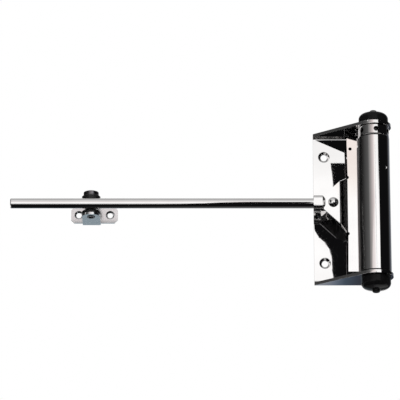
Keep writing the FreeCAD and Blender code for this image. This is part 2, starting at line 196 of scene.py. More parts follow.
# The ear's outline seen from above, which trims the section.
ear_middle = (barrel_x, barrel_y)
left_touch = touch_angle((plate_left, ear_root), ear_middle, ear_round, 1)
right_touch = touch_angle((plate_right, ear_root), ear_middle, ear_round, -1) + 360
ear_outline = [(plate_left, margin), (plate_left, ear_root_back)]
ear_outline += arc((plate_left + ear_root_round, ear_root_back), ear_root_round, 180, ear_root_end, 4)[1:]
ear_outline += arc(ear_middle, ear_round, left_touch, right_touch, 64)
ear_outline += [(plate_right, ear_root), (plate_right, margin), (plate_left, margin)]
reach = ear_outer + 2 * margin
trim = blanked("trim", [(x, y, -reach) for x, y in ear_outline], (0, 0, 2 * reach))
worked(base, trim, "INTERSECT")
for height in (screw_height, -screw_height):
    screw_hole = sunk_screw_hole(screw_radius, screw_sink, plate_sheet)
    worked(base, put(screw_hole, (0, -plate_sheet, height)), "DIFFERENCE")
bore_radius = spindle_radius + press_gap
bore = turned("bore", [(0, -reach), (bore_radius, -reach), (bore_radius, reach), (0, reach)], 48)
worked(base, put(bore, (barrel_x, barrel_y, 0)), "DIFFERENCE")
eased(base, 0.3)


def shader(name):
    """A new material, its nodes and links, and its own shader."""
    finish = bpy.data.materials.new(name)
    finish.use_nodes = True
    tree = finish.node_tree
    return finish, tree.nodes, tree.links, tree.nodes["Principled BSDF"]


def grain(nodes, links, stretch, scale, detail=4.0):
    """Noise over the piece itself, in its own place, drawn out along the way it was worked."""
    where = nodes.new("ShaderNodeTexCoord")
    drawn = nodes.new("ShaderNodeMapping")
    drawn.inputs["Scale"].default_value = stretch
    noise = nodes.new("ShaderNodeTexNoise")
    noise.inputs["Scale"].default_value = scale
    noise.inputs["Detail"].default_value = detail
    links.new(where.outputs["Object"], drawn.inputs["Vector"])
    links.new(drawn.outputs["Vector"], noise.inputs["Vector"])
    return noise.outputs["Fac"]


def spread(nodes, links, fac, low, high):
    """Maps noise to a range of a shader's number."""
    ramp = nodes.new("ShaderNodeMapRange")
    ramp.inputs["From Min"].default_value = 0.3
    ramp.inputs["From Max"].default_value = 0.7
    ramp.inputs["To Min"].default_value = low
    ramp.inputs["To Max"].default_value = high
    links.new(fac, ramp.inputs["Value"])
    return ramp.outputs["Result"]


def tones(nodes, links, fac, dark, light):
    """Maps noise to a range between two colours."""
    ramp = nodes.new("ShaderNodeValToRGB")
    ramp.color_ramp.elements[0].position = 0.3
    ramp.color_ramp.elements[0].color = (*dark, 1)
    ramp.color_ramp.elements[1].position = 0.7
    ramp.color_ramp.elements[1].color = (*light, 1)
    links.new(fac, ramp.inputs["Fac"])
    return ramp.outputs["Color"]


def relief(nodes, links, fac, depth, strength):
    """A shallow bump, with its depth in millimetres."""
    bump = nodes.new("ShaderNodeBump")
    bump.inputs["Strength"].default_value = strength
    bump.inputs["Distance"].default_value = depth * mm
    links.new(fac, bump.inputs["Height"])
    return bump.outputs["Normal"]


def mirror_steel(name, stretch, low=0.025, high=0.045):
    """Mirror-polished steel: faint buffing lines along one way, and soft cloudy wipe marks."""
    finish, nodes, links, steel = shader(name)
    buffing = grain(nodes, links, stretch, 900.0, 5.0)
    clouds = grain(nodes, links, (1, 1, 1), 45.0)
    tint = tones(nodes, links, clouds, (0.80, 0.785, 0.78), (0.85, 0.84, 0.835))
    links.new(tint, steel.inputs["Base Color"])
    links.new(spread(nodes, links, buffing, low, high), steel.inputs["Roughness"])
    links.new(relief(nodes, links, buffing, 0.01, 0.012), steel.inputs["Normal"])
    steel.inputs["Metallic"].default_value = 1.0
    return finish


def pressed_hollow(finish, slope, curl):
    """Leans the mirror of the plate's front to one side, and up where it curls towards the top fold."""
    curl_start = 44.0
    front_reach = 0.2
    nodes, links = finish.node_tree.nodes, finish.node_tree.links
    buffed = next(node for node in nodes if node.type == "BUMP")
    where = nodes.new("ShaderNodeTexCoord")
    apart = nodes.new("ShaderNodeSeparateXYZ")
    curled = nodes.new("ShaderNodeMapRange")
    curled.inputs["From Min"].default_value = curl_start * mm
    curled.inputs["From Max"].default_value = ear_outer * mm
    curled.inputs["To Max"].default_value = (ear_outer - curl_start) * mm * curl / slope
    both = nodes.new("ShaderNodeMath")
    front = nodes.new("ShaderNodeMath")
    front.operation = "COMPARE"
    front.inputs[1].default_value = -plate_sheet * mm
    front.inputs[2].default_value = front_reach * mm
    height = nodes.new("ShaderNodeMath")
    height.operation = "MULTIPLY"
    hollow = nodes.new("ShaderNodeBump")
    hollow.invert = True
    hollow.inputs["Strength"].default_value = 1.0
    hollow.inputs["Distance"].default_value = slope
    links.new(where.outputs["Object"], apart.inputs["Vector"])
    links.new(apart.outputs["Z"], curled.inputs["Value"])
    links.new(apart.outputs["X"], both.inputs[0])
    links.new(curled.outputs["Result"], both.inputs[1])
    links.new(apart.outputs["Y"], front.inputs[0])
    links.new(both.outputs["Value"], height.inputs[0])
    links.new(front.outputs["Value"], height.inputs[1])
    links.new(height.outputs["Value"], hollow.inputs["Height"])
    links.new(hollow.outputs["Normal"], buffed.inputs["Normal"])
    return finish


def coat(piece, finish):
    """Gives a piece its finish in place of any other."""
    piece.data.materials.clear()
    piece.data.materials.append(finish)


flat_polish = mirror_steel("polished_bracket", (1.0, 1.0, 0.06), 0.005, 0.014)
coat(base, pressed_hollow(flat_polish, slope=0.035, curl=0.065))
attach(base, "base")
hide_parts("base_bracket")


# Spindle, nuts, cap washers and plug: turned from bar steel, hidden under the caps and in the barrel.
# The spindle runs through both ears, and a washer and a hexagon nut hold it at each end.
# Their finish is bright and plain, with the fine rings that a lathe tool leaves.

def lathe_steel(name):
    finish, nodes, links, steel = shader(name)
    rings = grain(nodes, links, (0.05, 0.05, 1.0), 2600.0, 2.0)
    tint = tones(nodes, links, rings, (0.46, 0.46, 0.47), (0.62, 0.62, 0.63))
    links.new(tint, steel.inputs["Base Color"])
    links.new(spread(nodes, links, rings, 0.22, 0.36), steel.inputs["Roughness"])
    links.new(relief(nodes, links, rings, 0.02, 0.15), steel.inputs["Normal"])
    steel.inputs["Metallic"].default_value = 1.0
    return finish


turned_finish = lathe_steel("turned_steel")
for node in ("spindle", "top_nut", "bottom_nut", "top_cap_washer", "bottom_cap_washer", "bottom_plug"):
    coat(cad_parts[node], turned_finish)


# End caps: black moulded plastic, pushed over the nut and washer at each end of the spindle.
# Each has a straight side, a rounded shoulder, a low dome and a nub in the middle of the dome.
# The two come from one mould, so the lower one is the upper one turned over.

cap_radius = 11.5
cap_wall = 1.6
cap_room = 5.1
cap_side = 4.6
shoulder = 4.2
shoulder_turn = 74
dome_top = 9.7
nub_radius = 3.1
nub_top = 12.0
nub_round = 1.0
nub_ease = 0.1


def dome(rim, crown, steps):
    """Points of a round dome, from its rim (radius, height) up to its crown."""
    rise = crown[1] - rim[1]
    middle = rim[1] + (rise ** 2 - rim[0] ** 2 + crown[0] ** 2) / (2 * rise)
    sphere = math.hypot(rim[0], rim[1] - middle)
    first = math.degrees(math.atan2(rim[1] - middle, rim[0]))
    last = math.degrees(math.atan2(crown[1] - middle, crown[0]))
    return arc((0, middle), sphere, first, last, steps)


cap_profile = [(cap_radius - cap_wall, 0), (cap_radius, 0)]
cap_profile += arc((cap_radius - shoulder, cap_side), shoulder, 0, shoulder_turn, 12)
cap_profile += dome(cap_profile[-1], (nub_radius, dome_top), 8)[1:]
nub_corner = nub_round + nub_ease
cap_profile += arc((nub_radius - nub_corner, nub_top - nub_corner), nub_round, 0, 90, 6)
cap_profile += [(0, nub_top - nub_ease), (0, dome_top - cap_wall)]
cap_profile += dome((cap_radius - cap_wall, cap_room), (nub_radius, dome_top - cap_wall), 10)[::-1]
cap_profile += [(cap_radius - cap_wall, 0)]
upper_cap = turned("upper_cap", cap_profile)
eased(upper_cap, 0.5, 3)
lower_cap = upper_cap.copy()
lower_cap.data = upper_cap.data.copy()
lower_cap.name = "lower_cap"
bpy.context.collection.objects.link(lower_cap)
put(upper_cap, (barrel_x, barrel_y, ear_outer))
put(lower_cap, (barrel_x, barrel_y, -ear_outer), 180)


def moulded_black(name, tone, low, high, gloss):
    """Black moulded plastic: a fine even mould texture, and a little dust in random patches."""
    finish, nodes, links, plastic = shader(name)
    texture = grain(nodes, links, (1, 1, 1), 2200.0, 3.0)
    dust = grain(nodes, links, (1, 1, 1), 160.0)
    tint = tones(nodes, links, dust, (tone, tone, tone), (tone * 1.8, tone * 1.8, tone * 1.9))
    links.new(tint, plastic.inputs["Base Color"])
    links.new(spread(nodes, links, dust, low, high), plastic.inputs["Roughness"])
    links.new(relief(nodes, links, texture, 0.03, 0.25), plastic.inputs["Normal"])
    plastic.inputs["Specular IOR Level"].default_value = gloss
    return finish


cap_finish = moulded_black("black_plastic", 0.003, 0.12, 0.22, 0.1)
for cap, node in ((upper_cap, "top_cap"), (lower_cap, "bottom_cap")):
    coat(cap, cap_finish)
    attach(cap, "base")
    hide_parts(node)


# Barrel and arm tab: one strip of polished sheet, rolled into a tube round the spring.
# Its end runs on from the back of the tube as a flat leaf, steps forward, and tapers into a tab.
# The tab's tip is pressed into a half-round socket for the rod; the barrel has a dimple and a small hole.

barrel_radius = 12.3
barrel_sheet = 1.5
barrel_low = -58.2
barrel_high = 50.2
leaf_left = 17.5
leaf_corner = 26.0
leaf_high = 55.4
leaf_low = -53.7
tab_half = 23.0
socket_x = -1.2
socket_length = 7.8
socket_corner = 2.2
socket_straight = socket_length - 1.2
socket_run_out = 2.2
socket_narrow = 0.62
rod_y = -18.5
rod_radius = 4.0
tang_half = 1.7
socket_radius = rod_radius + press_gap + barrel_sheet
half_sheet = barrel_sheet / 2
leaf_y = barrel_y + barrel_radius - half_sheet
tab_y = rod_y - tang_half - half_sheet
tab_edge = tab_half + margin
step_drop = leaf_y - tab_y
step_along = 5.7
step_turn = math.atan2(step_drop, step_along)
bend_inside = 0.8
step_round = bend_inside + half_sheet
step_corner = leaf_left - half_sheet * (math.hypot(step_drop, step_along) - step_along) / step_drop
step_start = step_corner + step_round * math.tan(step_turn / 2)
step_run = (step_drop - 2 * step_round * (1 - math.cos(step_turn))) / math.sin(step_turn)
seam_gap = 0.6
near = 0.01


def pick(piece, test, mode="VERT"):
    """Selects the corners of the mesh in hand that pass a test, in millimetres."""
    bpy.ops.mesh.select_mode(type="VERT")
    bpy.ops.mesh.select_all(action="DESELECT")
    bpy.ops.object.mode_set(mode="OBJECT")
    for corner in piece.data.vertices:
        corner.select = test(corner.co / mm)
    bpy.ops.object.mode_set(mode="EDIT")
    bpy.ops.mesh.select_mode(type=mode)


barrel = drawn_line("barrel", [(step_start, leaf_y, barrel_low), (step_start, leaf_y, -tab_half),
                               (step_start, leaf_y, tab_half), (step_start, leaf_y, barrel_high)])
bpy.ops.mesh.select_all(action="SELECT")
pulled((leaf_corner - step_start, 0, 0))
pulled((barrel_x - leaf_corner, 0, 0))
seam = math.acos((barrel_radius - barrel_sheet - seam_gap) / barrel_radius)
bpy.ops.mesh.spin(steps=180, angle=2 * math.pi - seam, axis=(0, 0, 1),
                  center=(barrel_x * mm, barrel_y * mm, 0))

# The leaf's free edge above and below the tab.
for side in (1, -1):
    pick(barrel, lambda at: abs(at.x - step_start) < near and side * at.z > tab_edge)
    bpy.ops.transform.translate(value=((leaf_left - step_start) * mm, 0, 0))

# The corner of the leaf that stands up beside the collar.
pick(barrel, lambda at: at.x < leaf_corner + near and at.y > barrel_y and at.z > barrel_high - near, "EDGE")
pulled((0, 0, leaf_high - barrel_high))

# The leaf's lower corner, which stops short of the lower ear.
pick(barrel, lambda at: at.x < leaf_corner + near and at.y > barrel_y and at.z < barrel_low + near)
bpy.ops.transform.translate(value=(0, 0, (leaf_low - barrel_low) * mm))

# The step forward, bent one way and back, and the tab that runs on from it.
pick(barrel, lambda at: abs(at.x - step_start) < near and abs(at.z) < tab_edge, "EDGE")
bpy.ops.mesh.spin(steps=8, angle=-step_turn, axis=(0, 0, 1),
                  center=(step_start * mm, (leaf_y - step_round) * mm, 0))
pulled((-step_run * math.cos(step_turn), -step_run * math.sin(step_turn), 0))
tab_start = step_start - 2 * step_round * math.sin(step_turn) - step_run * math.cos(step_turn)
bpy.ops.mesh.spin(steps=8, angle=step_turn, axis=(0, 0, 1),
                  center=(tab_start * mm, (tab_y + step_round) * mm, 0))
pulled((socket_x - tab_start, 0, 0))
taper = Vector((tab_half - socket_radius, 0, leaf_left - socket_x)).normalized()
for side in (1, -1):
    pick(barrel, lambda at: at.x < step_start + near and abs(at.z) < tab_edge, "FACE")
    bpy.ops.mesh.bisect(plane_co=(leaf_left * mm, 0, side * tab_half * mm),
                        plane_no=(-taper.x, 0, side * taper.z), clear_outer=True)
close_up()


def thickened(piece):
    """Gives a drawn surface the thickness of the barrel's sheet, half to each side."""
    wall = piece.modifiers.new("sheet", "SOLIDIFY")
    wall.thickness = barrel_sheet * mm
    wall.offset = 0.0
    wall.use_even_offset = True
    bpy.ops.object.modifier_apply(modifier=wall.name)


thickened(barrel)

# The half-round socket at the tab's tip, which narrows into the flat of the tab.
socket_middle = socket_radius - half_sheet
socket_flat = socket_middle - socket_corner
half_round = [(rod_y, socket_middle)]
half_round += arc((rod_y - socket_flat, socket_flat), socket_corner, 90, 180, 10)
half_round += arc((rod_y - socket_flat, -socket_flat), socket_corner, 180, 270, 10)
half_round += [(rod_y, -socket_middle)]
socket = drawn_line("socket", [(socket_x - socket_length, y, z) for y, z in half_round])
bpy.ops.mesh.select_all(action="SELECT")
pulled((socket_straight, 0, 0))
pulled((socket_run_out, 0, 0))
flatten = (tab_y - rod_y) / -socket_middle
bpy.ops.transform.resize(value=(1, flatten, socket_narrow), center_override=(0, rod_y * mm, 0))
close_up()
thickened(socket)
worked(barrel, socket, "UNION")


def straight_drill(radius, length):
    """Tool for a plain hole, drilled along Y."""
    tool = turned("drill", [(0, -length), (radius, -length), (radius, length), (0, length)], 40)
    return put(tool, (0, 0, 0), 90)


tear_relief = 1.4
sheet_reach = 2.5
leaf_hole = 1.3
leaf_hole_place = (leaf_left + 2.6, leaf_y, 46.4)
rivet_x = 6.2
rivet_radius = 2.4
rivet_hole = rivet_radius + press_gap
for height in (tab_half, -tab_half):
    worked(barrel, put(straight_drill(tear_relief, sheet_reach), (leaf_left, leaf_y, height)), "DIFFERENCE")
worked(barrel, put(straight_drill(leaf_hole, sheet_reach), leaf_hole_place), "DIFFERENCE")
worked(barrel, put(straight_drill(rivet_hole, sheet_reach), (rivet_x, tab_y, 0)), "DIFFERENCE")
dimple_radius = 1.6
dimple_depth = 0.7
dimple_z = 24.7
dimple_out = (barrel_radius + dimple_radius - dimple_depth) * math.sqrt(0.5)
dimple = turned("punch", arc((0, 0), dimple_radius, -90, 90, 16), 32)
put(dimple, (barrel_x + dimple_out, barrel_y - dimple_out, dimple_z))
worked(barrel, dimple, "DIFFERENCE")
eased(barrel, 0.2)


def mill_steel_painted_shade(name):
    """Sheet steel as it left the rolling mill, dull and a little streaked, and coloured near black as
    painted shade.
    """
    finish, nodes, links, steel = shader(name)
    streaks = grain(nodes, links, (1.0, 1.0, 0.15), 700.0)
    # The near-black tint is painted shade, far darker than bare steel.
    tint = tones(nodes, links, streaks, (0.06, 0.06, 0.063), (0.11, 0.11, 0.113))
    links.new(tint, steel.inputs["Base Color"])
    links.new(spread(nodes, links, streaks, 0.34, 0.50), steel.inputs["Roughness"])
    links.new(relief(nodes, links, streaks, 0.02, 0.2), steel.inputs["Normal"])
    steel.inputs["Metallic"].default_value = 1.0
    return finish


def painted_crease_shade(finish):
    """Paints shade into the crease between leaf and tube: a darker colour there, which is painted shade,
    and a rougher, unbuffed finish.
    """
    nodes, links = finish.node_tree.nodes, finish.node_tree.links
    steel = nodes["Principled BSDF"]
    where = nodes.new("ShaderNodeTexCoord")
    apart = nodes.new("ShaderNodeSeparateXYZ")
    links.new(where.outputs["Object"], apart.inputs["Vector"])
    inside = []
    crease_shade_fade_front = -34
    crease_shade_full_front = -31
    tube_side = (("X", leaf_corner - 1.5, leaf_corner - 0.5), ("Y", barrel_y + 1, barrel_y - 0.5),
                 ("X", barrel_x + 4, barrel_x), ("Y", crease_shade_fade_front, crease_shade_full_front))
    for axis, start, end in tube_side:
        edge = nodes.new("ShaderNodeMapRange")
        edge.inputs["From Min"].default_value = start * mm
        edge.inputs["From Max"].default_value = end * mm
        links.new(apart.outputs[axis], edge.inputs["Value"])
        inside.append(edge.outputs["Result"])
    for other in inside[1:]:
        deep = nodes.new("ShaderNodeMath")
        deep.operation = "MULTIPLY"
        links.new(inside[0], deep.inputs[0])
        links.new(other, deep.inputs[1])
        inside[0] = deep.outputs["Value"]
    skin = grain(nodes, links, (1.0, 1.0, 0.15), 500.0)
    # Painted shade: the dark colour laid into the crease.
    dark = tones(nodes, links, skin, (0.03, 0.03, 0.032), (0.055, 0.055, 0.057))
    rough = spread(nodes, links, skin, 0.30, 0.45)
    for value, dull, kind in (("Base Color", dark, "RGBA"), ("Roughness", rough, "FLOAT")):
        mix = nodes.new("ShaderNodeMix")
        mix.data_type = kind
        ends = [end for end in mix.inputs if end.enabled]
        links.new(inside[0], ends[0])
        links.new(steel.inputs[value].links[0].from_socket, ends[1])
        links.new(dull, ends[2])
        links.new(next(end for end in mix.outputs if end.enabled), steel.inputs[value])
    return finish


def line_with(piece, finish, test):
    """Gives a second finish to the faces that pass a test of their middle, in millimetres, and normal."""
    piece.data.materials.append(finish)
    for face in piece.data.polygons:
        if test(face.center / mm, face.normal):
            face.material_index = len(piece.data.materials) - 1


def rolled_inside(at, facing):
    """Whether a face of the barrel lies inside the tube, or on the back of the leaf and the tab."""
    bore_skin = barrel_radius - barrel_sheet + 0.3
    tube_left = barrel_x - 6
    tab_front = rod_y - 3.6
    if math.hypot(at.x - barrel_x, at.y - barrel_y) < bore_skin:
        return True
    return at.x < tube_left and facing.y > -0.25 and at.y > tab_front


# Painted shade: the barrel's finish darkens the crease where the leaf meets the tube.
coat(barrel, painted_crease_shade(mirror_steel("polished_barrel_painted_crease_shade", (1.0, 1.0, 0.05))))
# Painted shade: the inside of the tube and the backs of the leaf and tab get the near-black finish.
line_with(barrel, mill_steel_painted_shade("mill_steel_painted_shade"), rolled_inside)
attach(barrel, "arm")
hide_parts("arm_barrel")


# Rod arm: drawn round bar, polished, with a small chamfer at its free end.
# Its other end lies in the tab's socket and is hammered flat, to be riveted behind the tab.

rod_left = -243.5
neck_x = socket_x - 4.0
tang_end = 10.2
tang_corner = 2.6
tang_overlap = 0.5
rod_chamfer = 0.6
rod = turned("rod", [(0, rod_left), (rod_radius - rod_chamfer, rod_left),
                     (rod_radius, rod_left + rod_chamfer), (rod_radius, neck_x - margin),
                     (rod_radius, neck_x)], 64)
bpy.ops.object.mode_set(mode="EDIT")
pick(rod, lambda at: abs(at.z - neck_x) < near, "EDGE")
pulled((0, 0, socket_x - neck_x))
bpy.ops.transform.resize(value=(1, tang_half / rod_radius, 1), center_override=(0, 0, 0))
pulled((0, 0, tang_overlap))
bpy.ops.mesh.edge_face_add()
close_up()
put(rod, (0, rod_y, 0), 0, 90)
corner_x = tang_end - tang_corner
flat = [(socket_x, -rod_radius), (corner_x, -rod_radius)]
flat += arc((corner_x, tang_corner - rod_radius), tang_corner, -90, 0, 8)[1:]
flat += arc((corner_x, rod_radius - tang_corner), tang_corner, 0, 90, 8)
flat += [(socket_x, rod_radius), (socket_x, -rod_radius)]
tang = blanked("tang", [(x, rod_y - tang_half, z) for x, z in flat], (0, 2 * tang_half, 0))
worked(rod, tang, "UNION")
worked(rod, put(straight_drill(rivet_hole, tang_half + margin), (rivet_x, rod_y, 0)), "DIFFERENCE")
eased(rod, 0.25)
coat(rod, mirror_steel("polished_rod", (0.03, 1.0, 1.0)))
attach(rod, "arm")
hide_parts("arm_rod")


# Arm rivet: a solid steel rivet through the tab and the flattened end of the rod.
# It has a low domed head in front, and a flat set head behind.

rivet_grip = barrel_sheet + 2 * tang_half
set_radius = 3.4
set_height = 1.4
head_radius = 4.1
head_height = 3.2
rivet_profile = [(0, -set_height), (set_radius, -set_height), (set_radius, 0), (rivet_radius, 0),
                 (rivet_radius, rivet_grip)]
rivet_profile += dome((head_radius, rivet_grip), (0, rivet_grip + head_height), 14)
rivet = turned("rivet", rivet_profile, 64)
put(rivet, (rivet_x, rod_y + tang_half, 0), 90)
eased(rivet, 0.3, 3)
coat(rivet, mirror_steel("polished_rivet", (1.0, 1.0, 1.0)))
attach(rivet, "arm")
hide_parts("arm_rivet")


# Tension collar: turned from bar and polished, it sits on the barrel and winds up the spring.
# A tommy bar fits the six holes round its side, and its neck runs down into the barrel's bush.

def spring_wire(name):
    finish, nodes, links, wire = shader(name)
    skin = grain(nodes, links, (1, 1, 1), 500.0)
    tint = tones(nodes, links, skin, (0.05, 0.05, 0.055), (0.12, 0.115, 0.11))
    links.new(tint, wire.inputs["Base Color"])
    links.new(spread(nodes, links, skin, 0.30, 0.50), wire.inputs["Roughness"])
    wire.inputs["Metallic"].default_value = 1.0
    return finish


collar_radius = 12.0
collar_low = 51.5
collar_high = 59.2
neck_radius = 9.13
neck_low = 40.5
running_gap = 0.05
collar_bore = spindle_radius + running_gap
collar_chamfer = 0.5
collar_face = collar_radius - collar_chamfer
bar_holes = 6
bar_hole = 2.0
bar_hole_end = 7.0
bar_hole_turn = 7.0
drill_end = collar_radius + 2 * margin
collar = turned("collar", [(collar_bore, neck_low), (neck_radius, neck_low), (neck_radius, collar_low),
                           (collar_face, collar_low), (collar_radius, collar_low + collar_chamfer),
                           (collar_radius, collar_high - collar_chamfer), (collar_face, collar_high),
                           (collar_bore, collar_high), (collar_bore, neck_low)], 144)
for step in range(bar_holes):
    tool = turned("drill", [(0, bar_hole_end), (bar_hole, bar_hole_end), (bar_hole, drill_end),
                            (0, drill_end)], 32)
    put(tool, (0, 0, 0), 90)
    tool.rotation_euler = (0, 0, math.radians(step * 360 / bar_holes + bar_hole_turn))
    tool.location = (0, 0, (collar_low + collar_high) / 2 * mm)
    bpy.ops.object.transform_apply(location=True, rotation=True, scale=True)
    worked(collar, tool, "DIFFERENCE")
eased(collar, 0.15)
put(collar, (barrel_x, barrel_y, 0))
coat(collar, mirror_steel("polished_collar", (0.05, 0.05, 1.0)))
# Painted shade: the walls of the tommy-bar holes get the dark spring-wire finish.
collar_skin = 0.4
line_with(collar, spring_wire("hole_wall_painted_shade"), lambda at, facing: (
    collar_low + margin < at.z < collar_high - margin
    and math.hypot(at.x - barrel_x, at.y - barrel_y) < collar_radius - collar_skin))
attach(collar, "collar")
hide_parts("tension_collar")


# Thrust washers: thin black nylon rings, one under the collar and one under the barrel.
# They show as a dark line at each end of the barrel, and keep steel from grating on steel.

nylon_finish = moulded_black("black_nylon", 0.005, 0.34, 0.48, 0.3)
thrust_sheet = 1.2
thrust_rings = (("upper_thrust_ring", "collar_washer", barrel_high + running_gap, neck_radius, "collar"),
                ("lower_thrust_ring", "bottom_washer", running_gap - ear_inner, spindle_radius, "base"))
for name, node, low, around, body in thrust_rings:
    inner = around + running_gap
    outer = collar_face
    high = low + thrust_sheet
    thrust_ring = turned(name, [(inner, low), (outer, low), (outer, high), (inner, high), (inner, low)])
    eased(thrust_ring, 0.2)
    put(thrust_ring, (barrel_x, barrel_y, 0))
    coat(thrust_ring, nylon_finish)
    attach(thrust_ring, body)
    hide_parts(node)


# Spring and bushes: sealed inside the barrel, where nothing of them shows.
# The spring is drawn wire with a dark oil-tempered skin, and the bushes are moulded white nylon.

def white_nylon(name):
    finish, nodes, links, nylon = shader(name)
    cloud = grain(nodes, links, (1, 1, 1), 260.0)
    tint = tones(nodes, links, cloud, (0.72, 0.71, 0.68), (0.80, 0.79, 0.76))
    links.new(tint, nylon.inputs["Base Color"])
    links.new(spread(nodes, links, cloud, 0.40, 0.55), nylon.inputs["Roughness"])
    return finish


coat(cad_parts["torsion_spring"], spring_wire("spring_wire"))
bush_finish = white_nylon("white_nylon")
for node in ("top_bush", "bottom_bush"):
    coat(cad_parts[node], bush_finish)


# Guide bracket: a small plated pressing that screws to the door and carries the roller.
# An upright plate with clipped corners and two countersunk holes, and a tongue folded forward below it.

guide_x = -181.3
plate_shift = 2.1
pin_y = -9.9
guide_back = 11.5
guide_sheet = 1.8
guide_front = guide_back - guide_sheet
guide_half = 18.25
guide_low = -6.55
guide_high = 6.35
clip = 2.5
tongue_low = -8.15
tongue_high = tongue_low + guide_sheet
tongue_half = 7.0
guide_fold = 1.2
guide_screw_x = 12.2
guide_screw_radius = 2.1
guide_screw_sink = 3.4
pin_hole = 2.65
face = [(-guide_half + clip, guide_low), (guide_half - clip, guide_low), (guide_half, guide_low + clip),
        (guide_half, guide_high - clip), (guide_half - clip, guide_high), (clip - guide_half, guide_high),
        (-guide_half, guide_high - clip), (-guide_half, guide_low + clip), (clip - guide_half, guide_low)]
guide = blanked("guide_plate", [(x + plate_shift, guide_front, z) for x, z in face], (0, guide_sheet, 0))
fold_section = [(guide_back, 0), (guide_back, tongue_low + guide_fold)]
fold_section += arc((guide_back - guide_fold, tongue_low + guide_fold), guide_fold, 0, -90, 8)[1:]
fold_section += [(pin_y - tongue_half - margin, tongue_low), (pin_y - tongue_half - margin, tongue_high)]
fold_section += arc((guide_front - guide_fold, tongue_high + guide_fold), guide_fold, -90, 0, 8)
fold_section += [(guide_front, 0), (guide_back, 0)]
tongue = blanked("tongue", [(-tongue_half, y, z) for y, z in fold_section], (2 * tongue_half, 0, 0))
tip_half = tongue_half + margin
tip_back = guide_back + margin
tip_low = tongue_low - margin
tip_outline = [(-tip_half, tip_back), (-tip_half, pin_y), (-tongue_half, pin_y)]
tip_outline += arc((0, pin_y), tongue_half, 180, 360, 32)[1:]
tip_outline += [(tip_half, pin_y), (tip_half, tip_back), (-tip_half, tip_back)]
trim = blanked("trim", [(x, y, tip_low) for x, y in tip_outline], (0, 0, guide_high - tip_low))
worked(tongue, trim, "INTERSECT")
worked(guide, tongue, "UNION")
for side in (-1, 1):
    place = (plate_shift + side * guide_screw_x, guide_front, (guide_low + guide_high) / 2)
    screw_hole = sunk_screw_hole(guide_screw_radius, guide_screw_sink, guide_sheet)
    worked(guide, put(screw_hole, place), "DIFFERENCE")
bore_low = tongue_low - margin
bore_high = tongue_high + margin
pin_bore = turned("drill", [(0, bore_low), (pin_hole, bore_low), (pin_hole, bore_high), (0, bore_high)], 40)
worked(guide, put(pin_bore, (0, pin_y, 0)), "DIFFERENCE")
eased(guide, 0.2)
put(guide, (guide_x, 0, 0))


def plated_steel(name):
    """Bright plating over rolled sheet: cooler than the polished steel, and a little cloudy."""
    finish, nodes, links, steel = shader(name)
    clouds = grain(nodes, links, (1, 1, 1), 300.0)
    rolled = grain(nodes, links, (0.1, 1.0, 1.0), 1400.0)
    tint = tones(nodes, links, clouds, (0.70, 0.71, 0.72), (0.80, 0.81, 0.82))
    links.new(tint, steel.inputs["Base Color"])
    links.new(spread(nodes, links, clouds, 0.12, 0.22), steel.inputs["Roughness"])
    links.new(relief(nodes, links, rolled, 0.02, 0.12), steel.inputs["Normal"])
    steel.inputs["Metallic"].default_value = 1.0
    return finish


coat(guide, plated_steel("bright_plating"))
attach(guide, "guide_bracket")
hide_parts("guide_bracket")


# Guide roller: black nylon, turned with a round groove that the rod lies in.
# It spins on the pin between the tongue and a washer under the pin's head.

flange_radius = 7.2
groove_radius = 4.3
groove_reach = 8.6
groove_half = math.degrees(math.acos((groove_reach - flange_radius) / groove_radius))
roller_low = -6.3
roller_high = 8.3
roller_profile = [(pin_hole, roller_low), (flange_radius, roller_low)]
roller_profile += arc((groove_reach, 0), groove_radius, 180 + groove_half, 180 - groove_half, 20)
roller_profile += [(flange_radius, roller_high), (pin_hole, roller_high), (pin_hole, roller_low)]
roller = turned("roller", roller_profile)
eased(roller, 0.5, 3)
put(roller, (guide_x, pin_y, 0))
coat(roller, nylon_finish)
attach(roller, "guide_roller")
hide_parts("guide_roller")


# Guide pin and its washer: dark blackened steel, with a broad pan head above the roller.
# The pin's lower end is drilled hollow, and its rim is flared out under the tongue.

pin_radius = 2.6
pin_tail = -8.65
pin_flare = 3.3
pin_hollow = 1.8
hollow_end = pin_tail + 5
pin_head = 9.2
pan_radius = 5.9
pan_side = pin_head + 2.4
pan_top = pin_head + 3.9
pin_profile = [(pin_hollow, hollow_end), (pin_hollow, pin_tail), (pin_flare, pin_tail),
               (pin_radius, tongue_low), (pin_radius, pin_head), (pan_radius, pin_head)]
pin_profile += dome((pan_radius, pan_side), (0, pan_top), 12)
pin_profile += [(0, hollow_end), (pin_hollow, hollow_end)]
pin = turned("pin", pin_profile, 64)
eased(pin, 0.2)
ring_inner = pin_radius + press_gap
ring_outer = 6.0
ring_low = roller_high + running_gap
ring_high = pin_head - running_gap
pin_ring = turned("pin_ring", [(ring_inner, ring_low), (ring_outer, ring_low), (ring_outer, ring_high),
                               (ring_inner, ring_high), (ring_inner, ring_low)], 64)
eased(pin_ring, 0.15)


def blackened_steel(name):
    finish, nodes, links, steel = shader(name)
    patches = grain(nodes, links, (1, 1, 1), 700.0)
    tint = tones(nodes, links, patches, (0.10, 0.10, 0.11), (0.24, 0.23, 0.24))
    links.new(tint, steel.inputs["Base Color"])
    links.new(spread(nodes, links, patches, 0.16, 0.30), steel.inputs["Roughness"])
    steel.inputs["Metallic"].default_value = 1.0
    return finish


pin_finish = blackened_steel("blackened_steel")
for piece, node in ((pin, "guide_pin"), (pin_ring, "guide_washer")):
    put(piece, (guide_x, pin_y, 0))
    coat(piece, pin_finish)
    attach(piece, "guide_pin")
    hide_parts(node)


# Studio: a pale floor below, a white surround, and light and dark cards set round the closer.
# The cards show only as reflections in the polished steel, as flags do on a photographer's table.

studio = bpy.context.scene
studio.view_settings.view_transform = "Standard"

